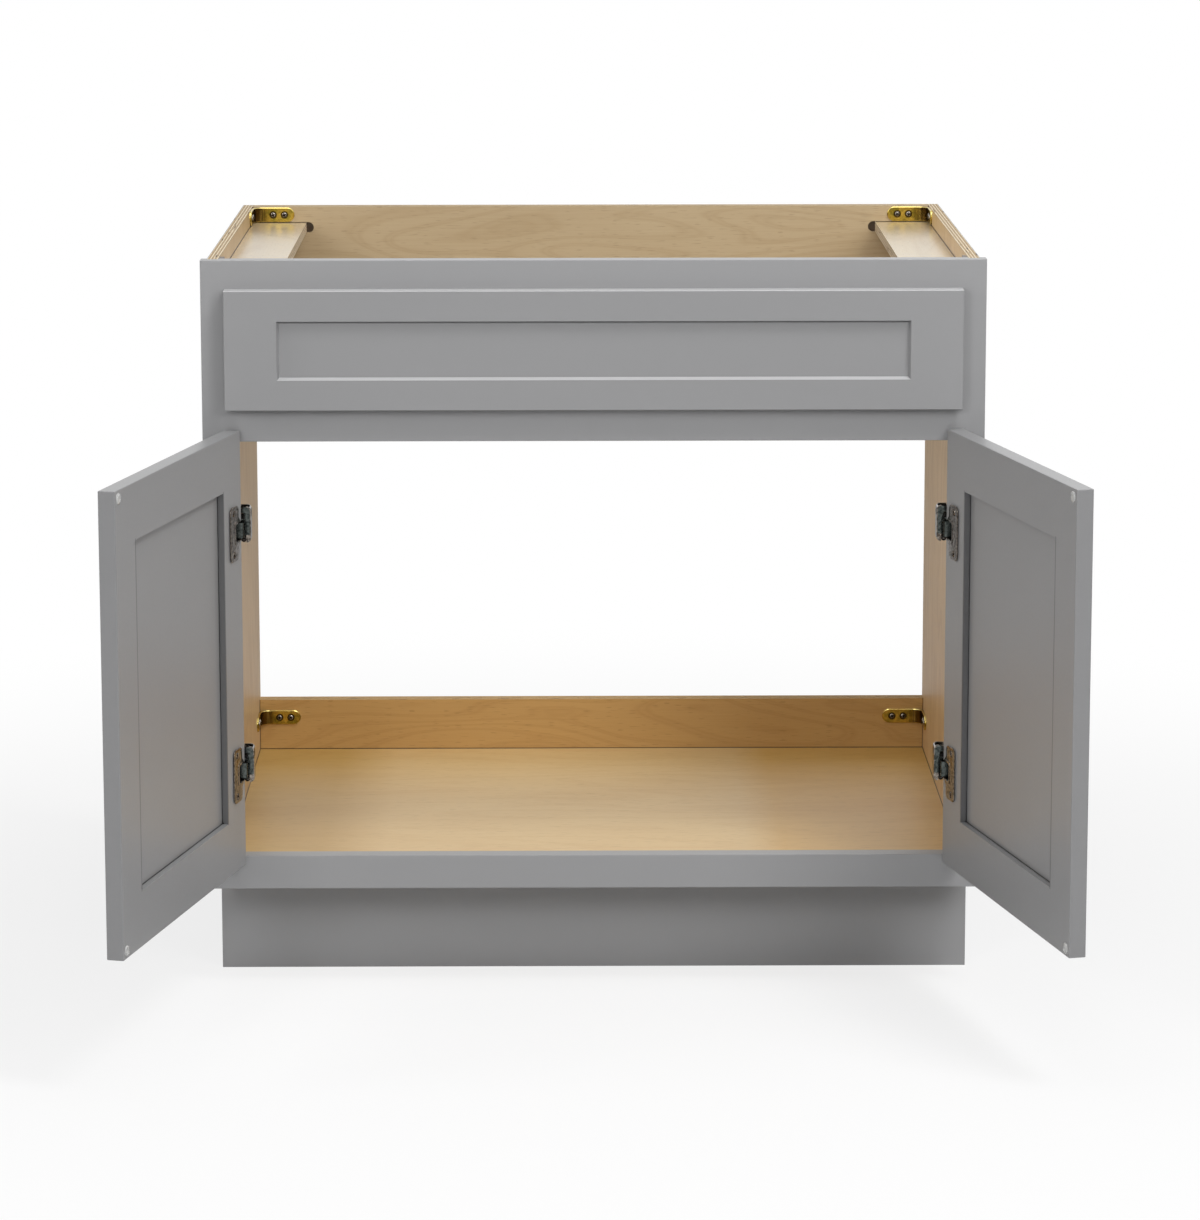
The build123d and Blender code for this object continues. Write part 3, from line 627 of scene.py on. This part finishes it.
def dome_tree():
    """Geometry nodes: a low dome on every point, with a cross recess and a shank where asked."""
    tree = bpy.data.node_groups.new("Low domes", "GeometryNodeTree")
    tree.interface.new_socket("Geometry", in_out="INPUT", socket_type="NodeSocketGeometry")
    tree.interface.new_socket("Geometry", in_out="OUTPUT", socket_type="NodeSocketGeometry")
    for name, kind, value in (
        ("Diameter", "NodeSocketFloat", 6 * MM),
        ("Height", "NodeSocketFloat", 1.4 * MM),
        ("Recess width", "NodeSocketFloat", 4.2 * MM),
        ("Shank diameter", "NodeSocketFloat", 3.6 * MM),
        ("Shank length", "NodeSocketFloat", 11 * MM),
        ("Seed", "NodeSocketInt", 7),
        ("Finish", "NodeSocketMaterial", None),
    ):
        socket = tree.interface.new_socket(name, in_out="INPUT", socket_type=kind)
        if value is not None:
            socket.default_value = value
    given = add(tree, "NodeGroupInput").outputs
    radius = add(tree, MATH, [given["Diameter"], 0.5], operation="MULTIPLY")

    # Dome: the upper half of a ball, widened at its shoulder and closed flat underneath
    ball = add(tree, "GeometryNodeMeshUVSphere", {"Segments": 32, "Rings": 16, "Radius": 1.0})
    place = add(tree, SPLIT, [add(tree, "GeometryNodeInputPosition")]).outputs
    upper = add(tree, MATH, [place["Z"], 0.0], operation="MAXIMUM")
    upper = add(tree, MATH, [upper, 0.75], operation="POWER")
    shaped = add(tree, JOIN, [
        add(tree, MATH, [place["X"], radius], operation="MULTIPLY"),
        add(tree, MATH, [place["Y"], radius], operation="MULTIPLY"),
        add(tree, MATH, [upper, given["Height"]], operation="MULTIPLY"),
    ])
    dome = add(tree, "GeometryNodeSetPosition", {"Geometry": ball, "Position": shaped})
    dome = add(tree, "GeometryNodeMergeByDistance", {"Geometry": dome, "Distance": 0.002 * MM})

    # Cross recess, cut by two crossed bars
    arm = given["Recess width"]
    slim = add(tree, MATH, [arm, 0.32], operation="MULTIPLY")
    deep = add(tree, MATH, [given["Height"], 1.3], operation="MULTIPLY")
    lift = add(tree, JOIN, {"Z": given["Height"]})
    cut = add(tree, "GeometryNodeMeshBoolean", {"Mesh 1": dome}, operation="DIFFERENCE")
    for first, second in ((arm, slim), (slim, arm)):
        bar = add(tree, "GeometryNodeMeshCube", {"Size": add(tree, JOIN, [first, second, deep])})
        bar = add(tree, "GeometryNodeTransform", {"Geometry": bar, "Translation": lift})
        feed(tree, cut, {"Mesh 2": bar})

    # Shank under the head
    shank = add(tree, "GeometryNodeMeshCylinder", {
        "Vertices": 16,
        "Radius": add(tree, MATH, [given["Shank diameter"], 0.5], operation="MULTIPLY"),
        "Depth": given["Shank length"],
    })
    drop = add(tree, MATH, [given["Shank length"], -0.5], operation="MULTIPLY")
    drop = add(tree, JOIN, {"Z": drop})
    shank = add(tree, "GeometryNodeTransform", {"Geometry": shank, "Translation": drop})
    wanted, needed = (
        add(tree, "FunctionNodeCompare", [size, 0.1 * MM], operation="GREATER_THAN")
        for size in (arm, given["Shank length"])
    )
    head = add(tree, "GeometryNodeSwitch", [wanted, dome, cut], input_type="GEOMETRY")
    shank = add(tree, "GeometryNodeSwitch", {0: needed, 2: shank}, input_type="GEOMETRY")

    # Depth of each point under the dome's own skin, which the finish turns into painted shade in the recess
    off = [add(tree, MATH, [place[axis], radius], operation="DIVIDE") for axis in ("X", "Y")]
    off = [add(tree, MATH, [share, 2.0], operation="POWER") for share in off]
    inside = add(tree, MATH, [1.0, add(tree, MATH, off, operation="ADD")], operation="SUBTRACT")
    inside = add(tree, MATH, [inside, 0.0], operation="MAXIMUM")
    skin = add(tree, MATH, [inside, 0.375], operation="POWER")
    skin = add(tree, MATH, [skin, given["Height"]], operation="MULTIPLY")
    below = add(tree, MATH, [skin, place["Z"]], operation="SUBTRACT")
    below = add(tree, MATH, [below, 0.0], operation="MAXIMUM")
    above_base = add(tree, MATH, [place["Z"], 0.01 * MM], operation="GREATER_THAN")
    below = add(tree, MATH, [below, above_base], operation="MULTIPLY")
    head = add(
        tree, "GeometryNodeStoreNamedAttribute", {"Geometry": head, "Name": "sunk", "Value": below},
        data_type="FLOAT", domain="POINT",
    )
    whole = add(tree, "GeometryNodeJoinGeometry")
    for part in (head, shank):
        feed(tree, whole, [part])

    # One on every point, turned to its axis and spun at random
    axis = add(tree, "GeometryNodeInputNamedAttribute", {"Name": "axis"}, data_type="FLOAT_VECTOR")
    turned = add(tree, "FunctionNodeAlignRotationToVector", {"Vector": axis}, axis="Z")
    angle = add(
        tree, "FunctionNodeRandomValue", {"Min": 0.0, "Max": 2 * pi, "Seed": given["Seed"]}, data_type="FLOAT"
    )
    spin = add(tree, "FunctionNodeAxisAngleToRotation", {"Axis": (0, 0, 1), "Angle": angle})
    turned = add(tree, "FunctionNodeRotateRotation", [turned, spin], rotation_space="LOCAL")
    placed = add(
        tree, "GeometryNodeInstanceOnPoints",
        {"Points": given["Geometry"], "Instance": whole, "Rotation": turned},
    )
    real = add(tree, "GeometryNodeRealizeInstances", [placed])
    painted = add(tree, "GeometryNodeSetMaterial", {"Geometry": real, "Material": given["Finish"]})
    add(tree, "NodeGroupOutput", [painted])
    return tree


def domes(name, places, finish, **sizes):
    """A plain mesh of domes, one at each place, at the origin with its places in its mesh."""
    mesh = bpy.data.meshes.new(name)
    mesh.from_pydata([tuple(place) for place, _ in places], [], [])
    axes = mesh.attributes.new("axis", "FLOAT_VECTOR", "POINT")
    for entry, (_, axis) in zip(axes.data, places):
        entry.vector = tuple(axis)
    made = bpy.data.objects.new(name, mesh)
    bpy.context.scene.collection.objects.link(made)
    tree = bpy.data.node_groups.get("Low domes") or dome_tree()
    modifier = made.modifiers.new("Low domes", "NODES")
    modifier.node_group = tree
    sockets = {item.name: item.identifier for item in tree.interface.items_tree if item.in_out == "INPUT"}
    for label, value in {**sizes, "Finish": finish}.items():
        modifier[sockets[label]] = value
    made.update_tag()
    graph = bpy.context.evaluated_depsgraph_get()
    plain = bpy.data.meshes.new_from_object(made.evaluated_get(graph))
    made.modifiers.clear()
    made.data = plain
    plain.name = name
    smoothed(plain)
    return made


class SINKBASE_OT_stage(bpy.types.Operator):
    """Set up the pale floor, the white room, the softboxes and the camera"""
    bl_idname = "sinkbase.stage"
    bl_label = "Stage"

    def execute(self, context):
        stage = context.scene.sinkbase_stage
        floor_mesh = bpy.data.meshes.new("studio_floor")
        half = 9.0
        floor_mesh.from_pydata(
            [(-half, -half, 0), (half, -half, 0), (half, half, 0), (-half, half, 0)], [], [(0, 1, 2, 3)]
        )
        floor = bpy.data.objects.new("studio_floor", floor_mesh)
        context.scene.collection.objects.link(floor)
        # Painted board: matt and pale. To the camera it glows more the further it lies from the
        # cabinet, so that it keeps the shadow and meets the white room without a line
        made, tree, shader, coordinates = material("matt_painted_floor")
        feed(tree, shader, {"Base Color": stage.floor, "Roughness": 0.9})
        away = add(tree, VECTOR, [coordinates["Object"]], operation="LENGTH")
        away = add(tree, MATH, [away, stage.shadow_reach], operation="DIVIDE")
        glow = add(tree, RAMP, [away], stops=[(0.25, 0.75), (1.0, 1.0)], interpolation="EASE")
        seen = add(tree, "ShaderNodeLightPath").outputs["Is Camera Ray"]
        seen = add(tree, MATH, [seen, glow], operation="MULTIPLY")
        white = add(tree, "ShaderNodeEmission", {"Color": (1, 1, 1), "Strength": 1.0})
        lit = add(tree, "ShaderNodeMixShader", [seen, shader, white])
        feed(tree, tree.nodes["Material Output"], {"Surface": lit})
        floor_mesh.materials.append(made)

        world = bpy.data.worlds.new("white_room")
        world.use_nodes = True
        tree = world.node_tree
        path = add(tree, "ShaderNodeLightPath").outputs
        shown = add(tree, MATH, [path["Is Camera Ray"], path["Is Glossy Ray"]], operation="MAXIMUM")
        shown = add(tree, MATH, [shown, path["Is Transmission Ray"]], operation="MAXIMUM")
        strength = add(tree, MATH, [shown, 1 - stage.ambient, stage.ambient], operation="MULTIPLY_ADD")
        feed(tree, tree.nodes["Background"], {"Color": (1, 1, 1), "Strength": strength})
        context.scene.world = world

        # Softboxes by their bearing from straight ahead, their height angle and their size
        target, distance = Vector((0, -0.1, 0.45)), 3.6
        for name, bearing, lift, width, height, power in (
            ("key_softbox", 34, 26, 1.1, 1.5, stage.key_power),
            ("high_softbox", 48, 58, 0.8, 1.2, stage.high_power),
            ("left_softbox", -24, 21, 0.7, 0.9, stage.left_power),
            ("centre_softbox", 1, 28, 0.8, 1.0, stage.centre_power),
            ("far_softbox", -76, 24, 1.0, 1.2, stage.far_power),
            ("top_softbox", 0, 84, 2.0, 2.0, stage.top_power),
            ("rear_softbox", 176, 34, 1.6, 1.2, stage.rear_power),
        ):
            around, up = radians(bearing), radians(lift)
            place = target + distance * Vector((sin(around) * cos(up), -cos(around) * cos(up), sin(up)))
            lamp = bpy.data.lights.new(name, "AREA")
            lamp.shape = "RECTANGLE"
            lamp.size, lamp.size_y = width, height
            lamp.energy = power
            holder = bpy.data.objects.new(name, lamp)
            holder.location = place
            holder.rotation_euler = (target - place).to_track_quat("-Z", "Y").to_euler()
            context.scene.collection.objects.link(holder)

        # Lens, place and turn from a fit to the photograph's edges
        view = bpy.data.cameras.new("camera")
        view.sensor_width = 36.0
        view.lens = 128.66
        view.shift_y = -0.12
        view.clip_end = 60.0
        camera = bpy.data.objects.new("camera", view)
        camera.location = (-0.02714, -4.69841, 1.35408)
        camera.rotation_euler = (pi / 2 - 0.16622, 0.0009, -0.00746)
        context.scene.collection.objects.link(camera)
        context.scene.camera = camera
        context.scene.view_settings.view_transform = "Standard"
        return {"FINISHED"}


class SINKBASE_OT_painted_wood(bpy.types.Operator):
    """Finish the face frame, the doors, the false front and the toe board"""
    bl_idname = "sinkbase.painted_wood"
    bl_label = "Painted wood"

    def execute(self, context):
        upright = sprayed_lacquer("sprayed_lacquer_upright", 2)
        level = sprayed_lacquer("sprayed_lacquer_level", 0)
        finish_nodes("painted_wood", upright)
        for name, piece in frame["nodes"].items():
            rail = name.endswith("_rail") and "back" not in name
            if rail or name in ("false_front_panel", "toe_kick_board"):
                give(piece, level)
        for side in sides:
            door = sprayed_lacquer(f"sprayed_lacquer_{side}_door", 2, side)
            for part in ("hinge_stile", "free_stile", "panel"):
                give(frame["nodes"][f"{side}_door_{part}"], door)

        # The false front is a little darker than the frame: its flat faces get 0.535 of a tone of
        # 1.74, which is 0.93 of the paint, and no shade may be over 1. Its bevels get a painted
        # highlight where they face up and a painted shade where they face down
        painted_bevel_light = [(0.1, 0.25), (0.3, 0.45), (0.42, 0.535), (0.58, 0.535), (0.7, 1.0)]
        for way, along, parts in (
            ("upright", 2, ("left_stile", "right_stile")),
            ("level", 0, ("top_rail", "bottom_rail", "panel")),
        ):
            front = sprayed_lacquer(f"sprayed_lacquer_false_front_{way}", along, tone=1.74, painted_bevel_light=painted_bevel_light)
            for part in parts:
                give(frame["nodes"][f"false_front_{part}"], front)
        return {"FINISHED"}


class SINKBASE_OT_plywood(bpy.types.Operator):
    """Finish the side panels, the stretchers, the floor, the back rails and the cleats"""
    bl_idname = "sinkbase.plywood"
    bl_label = "Plywood"

    def execute(self, context):
        wood = context.scene.sinkbase_plywood

        # Joints are shown as dark lines 1.8 mm wide, wider than the real ones so that they show, partly the
        # joint and partly painted shadow in the corner
        line = 0.9 * MM
        corner, rear, on_floor, under_top = (
            (axis, middle - line, middle + line)
            for axis, middle in ((0, side_inner), (1, rail_inner), (2, floor_top), (2, stretcher_top))
        )
        slot_bottom = (1, rail_inner + line, rail_inner + 12 * MM)

        # The floor's sheets begin and end at X + 0.5 m. They make the floor darker and more honey towards its
        # left and right, partly as a tone of the veneer and partly as painted shade from the doors and stiles
        honey_and_shade, plain = (0.78, 0.71, 0.48), (1, 1, 1)
        sheets = [(0.20, honey_and_shade), (0.27, plain), (0.67, plain), (0.71, (0.93, 0.82, 0.52))]

        # The right side panel is a third brighter than the left one, as painted light on the same wood
        right_pale_painted_light = [1.36 * channel for channel in wood.side_pale]
        right_dark_painted_light = [1.32 * channel for channel in wood.side_dark]
        side_joint_lines_and_shadow, floor_joint_lines_and_shadow = (on_floor, under_top), (corner, rear)
        boards = (
            ("left_side", ["left_side_panel"], 0, 2, wood.side_pale, wood.side_dark,
             dict(seed=3.1, exterior=True, joints=side_joint_lines_and_shadow)),
            ("right_side", ["right_side_panel"], 0, 2, right_pale_painted_light, right_dark_painted_light,
             dict(seed=4.6, exterior=True, joints=side_joint_lines_and_shadow)),
            ("stretchers", ["left_top_stretcher", "right_top_stretcher"], 2, 1, wood.top_pale, wood.top_dark,
             dict(seed=8.2, figure=30.0, polish=0.2, joints=floor_joint_lines_and_shadow)),
            ("floor", ["floor_panel"], 2, 0, wood.floor_pale, wood.floor_dark,
             dict(seed=5.4, figure=46.0, late_share=0.14, streak=0.22, joints=floor_joint_lines_and_shadow, sheets=sheets)),
            ("upper_rail", ["upper_back_rail"], 1, 0, wood.upper_pale, wood.upper_dark,
             dict(seed=1.7, figure=130.0, late_share=0.24, plies=11, sawn=(0.9, 0.86, 0.78),
                  joints=(corner, slot_bottom))),
            ("lower_rail", ["lower_back_rail"], 1, 0, wood.lower_pale, wood.lower_dark,
             dict(seed=6.3, figure=100.0, late_share=0.3, plies=11, sawn=(0.95, 0.78, 0.52),
                  joints=(corner, on_floor))),
            ("cleats", ["false_front_cleats"], 1, 2, wood.top_pale, wood.top_dark,
             dict(seed=9.9, figure=20.0)),
        )
        for name, nodes, through, along, pale, dark, details in boards:
            board = birch_plywood(
                f"birch_plywood_{name}", nodes[0], through, along, tuple(pale), tuple(dark), **details
            )
            for node in nodes:
                give(frame["nodes"][node], board)
        return {"FINISHED"}


class SINKBASE_OT_fittings(bpy.types.Operator):
    """Finish the corner brackets, the hinges, the pins and the front corner clips"""
    bl_idname = "sinkbase.fittings"
    bl_label = "Brackets and hinges"

    def execute(self, context):
        metal = context.scene.sinkbase_metal
        zinc = plated_steel(
            "yellow_chromated_zinc", metal.zinc, 0.24, 9 * MM, linear("#8C7A2C"), bracket_shade_and_highlights
        )
        # The hinges' nickel is darkened, with small dark clouds, as painted reflection of dark surroundings
        nickel = plated_steel("bright_nickel_plate", metal.nickel, 0.18, 3 * MM, linear("#463F39"))
        black = plated_steel("black_nickel_plate", metal.black, 0.26, 3 * MM, linear("#363B39"))
        plated_steel("blackened_steel", linear("#2A2928"), 0.34, 2 * MM, linear("#191817"))
        finish_nodes("zinc_bracket_steel", zinc)
        finish_nodes("nickel_hinge_steel", nickel)
        finish_nodes("screw_steel", nickel)
        finish_nodes("clip_plastic", moulded_plastic("moulded_polypropylene", linear("#5E554C"), 0.5))
        for side in sides:
            for level in levels:
                give(frame["nodes"][f"{side}_{level}_hinge_arm"], black)
        return {"FINISHED"}


class SINKBASE_OT_hinge_pressings(bpy.types.Operator):
    """Put the pressed flanges on the hinge cups, and the slotted faces and knobs on the hinge plates"""
    bl_idname = "sinkbase.hinge_pressings"
    bl_label = "Hinge pressings"

    def execute(self, context):
        nickel, black, blackened = (
            bpy.data.materials[name]
            for name in ("bright_nickel_plate", "black_nickel_plate", "blackened_steel")
        )
        heights = [sum(corner.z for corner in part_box(f"left_{level}_hinge_cup")) / 2 for level in levels]

        # Flange: millimetres from the door's hinge edge and from the hinge's middle
        flange = filleted([
            (13.8, -29.5, 6), (41, -29.5, 6), (41, 29.5, 6), (13.8, 29.5, 6),
            (13.8, 9.6, 1.5), (24, 9.6, 4), (24, -9.6, 4), (13.8, -9.6, 1.5),
        ])
        bead = filleted([
            (14.6, -12.4, 1.0), (27.2, -12.4, 4), (27.2, 12.4, 4), (14.6, 12.4, 1.0),
            (14.6, 9.8, 0.8), (24.2, 9.8, 3), (24.2, -9.8, 3), (14.6, -9.8, 0.8),
        ])
        holes = [ring((30, offset), 3.5) for offset in (-22.5, 22.5)]

        # Shoulders: the cup's rim above and below the arm, from 32.4 to 90 degrees
        cup_middle, cup_rim, arm_edge = 20.5, 17.9, 9.6
        shoulders = []
        for way in (-1, 1):
            turns = (radians(32.4 + step * 5.76) for step in range(11))
            arc = [(cup_middle - cup_rim * cos(turn), way * cup_rim * sin(turn)) for turn in turns]
            shoulders.append([*arc, (cup_middle, way * arm_edge)])
        for side in sides:
            along, inward, edge = door_axes(side)
            parts = []
            for height in heights:
                place = axes_matrix(along, upwards, inward, Vector((edge.x, edge.y, height)))
                parts.append((pressed([flange, *holes], 0.95, 0.95, 0.35), place))
                parts.append((pressed([bead], 1.8, 0.45, 0.2), place))
                parts.extend((pressed([shoulder], 0.1, 0.95, 0.3), place) for shoulder in shoulders)
            joined(f"{side}_hinge_flange_pressings", parts, nickel, f"{side}_door")

        # Plate face: millimetres inwards from the stile and up from the hinge's middle
        face = filleted([
            (0.6, 9.0, 0.8), (6.9, 9.0, 0.5), (6.9, -7.0, 1.0),
            (11.5, -7.0, 2.0), (11.5, 23.6, 5.4), (0.6, 23.6, 5.4),
        ])
        slot = filleted([(1.5, 10.2, 1.84), (1.5, 17.4, 1.84), (5.2, 17.4, 1.84), (5.2, 10.2, 1.84)])

        # Knobs: a small disc in the slot, and a toothed one with a drive slot through it
        disc = ring((3.35, 12.6), 1.5)
        teeth = []
        for step in range(32):
            turn, reach = 2 * pi * step / 32, 2.85 if step % 2 else 2.35
            teeth.append((4.7 + reach * cos(turn), -11.9 + reach * sin(turn)))
        drive = filleted([(3.4, -12.35, 0.2), (3.4, -11.45, 0.2), (6.0, -11.45, 0.2), (6.0, -12.35, 0.2)])
        faces, knobs = [], []
        for way in sides.values():
            for height in heights:
                origin = Vector((way * stile_inner, frame_front, height))
                place = axes_matrix(Vector((-way, 0, 0)), upwards, Vector((0, -1, 0)), origin)
                faces.append((pressed([face, slot], -1.25, 0.85, 0.3), place))
                knobs.append((pressed([disc], -2.4, 1.1, 0.3), place))
                knobs.append((pressed([teeth, drive], -0.85, 0.6, 0.15), place))
        joined("hinge_plate_faces", faces, black, "cabinet")
        joined("hinge_plate_adjusting_screws", knobs, blackened, "cabinet")
        return {"FINISHED"}


class SINKBASE_OT_screws(bpy.types.Operator):
    """Put a pan head screw with a cross recess at every fastener"""
    bl_idname = "sinkbase.screws"
    bl_label = "Screws"

    def execute(self, context):
        metal = context.scene.sinkbase_metal
        plain = plated_steel("clear_zinc_plate", metal.screw, 0.28, 3 * MM, linear("#7D766D"))
        nickel = bpy.data.materials["bright_nickel_plate"]
        groups = (
            ("corner_bracket_screws", "cabinet", plain, "zinc_screw_steel"),
            ("hinge_plate_screws", "cabinet", nickel, "screw_steel"),
            ("cleat_screws", "cabinet", plain, "screw_steel"),
            ("front_clip_screws", "cabinet", plain, "screw_steel"),
            ("left_hinge_cup_screws", "left_door", nickel, "screw_steel"),
            ("right_hinge_cup_screws", "right_door", nickel, "screw_steel"),
        )
        for seed, (node, body, finish, slot) in enumerate(groups):
            places = screw_places(node)
            made = domes(
                f"{node}_pan_heads", [(seat, axis) for seat, axis, _ in places], finish,
                Diameter=metal.head_diameter, Height=metal.head_height, Seed=seed,
                **{"Recess width": metal.recess_width, "Shank length": min(row[2] for row in places)},
            )
            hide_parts(node)
            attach(made, body)
        return {"FINISHED"}


class SINKBASE_OT_bumpers(bpy.types.Operator):
    """Put a clear dome at each bumper"""
    bl_idname = "sinkbase.bumpers"
    bl_label = "Bumpers"

    def execute(self, context):
        clear = clear_polyurethane("clear_cast_polyurethane")
        for side, way in sides.items():
            node = f"{side}_door_bumpers"
            places = []
            for points in islands(node):
                middle = points.mean(0)
                normal = np.linalg.svd(points - middle)[2][2]
                if normal[0] * way > 0:
                    normal = -normal
                reach = (points - middle) @ normal
                places.append((middle + normal * reach.min(), normal))
                thickness = reach.max() - reach.min()
                width = 2 * np.linalg.norm(points - middle, axis=1).max()
            # A little narrower than the CAD disc, so that it stays inside its box
            made = domes(
                f"{node}_domes", places, clear, Diameter=float(width) * 0.985, Height=float(thickness),
                **{"Recess width": 0.0, "Shank length": 0.0},
            )
            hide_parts(node)
            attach(made, f"{side}_door")
        return {"FINISHED"}


class SINKBASE_PT_pieces(bpy.types.Panel):
    """Pieces and finishes of the cabinet"""
    bl_idname = "SINKBASE_PT_pieces"
    bl_label = "Sink Base"
    bl_space_type = "VIEW_3D"
    bl_region_type = "UI"
    bl_category = "Sink Base"

    def draw(self, context):
        for operator in operators:
            self.layout.operator(operator.bl_idname)
        for group in settings:
            box = self.layout.box()
            values = getattr(context.scene, group)
            for name in values.__annotations__:
                box.prop(values, name)


settings = {
    "sinkbase_paint": SINKBASE_PG_paint,
    "sinkbase_plywood": SINKBASE_PG_plywood,
    "sinkbase_metal": SINKBASE_PG_metal,
    "sinkbase_stage": SINKBASE_PG_stage,
}
operators = (
    SINKBASE_OT_stage,
    SINKBASE_OT_painted_wood,
    SINKBASE_OT_plywood,
    SINKBASE_OT_fittings,
    SINKBASE_OT_hinge_pressings,
    SINKBASE_OT_screws,
    SINKBASE_OT_bumpers,
)


def register():
    for each in (*settings.values(), *operators, SINKBASE_PT_pieces):
        bpy.utils.register_class(each)
    for name, group in settings.items():
        setattr(bpy.types.Scene, name, PointerProperty(type=group))


def unregister():
    for name in settings:
        delattr(bpy.types.Scene, name)
    for each in reversed((*settings.values(), *operators, SINKBASE_PT_pieces)):
        bpy.utils.unregister_class(each)


def main():
    """Make the whole scene."""
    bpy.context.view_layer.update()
    register()
    for operator in operators:
        group, name = operator.bl_idname.split(".")
        getattr(getattr(bpy.ops, group), name)()


if __name__ == "__main__":
    main()
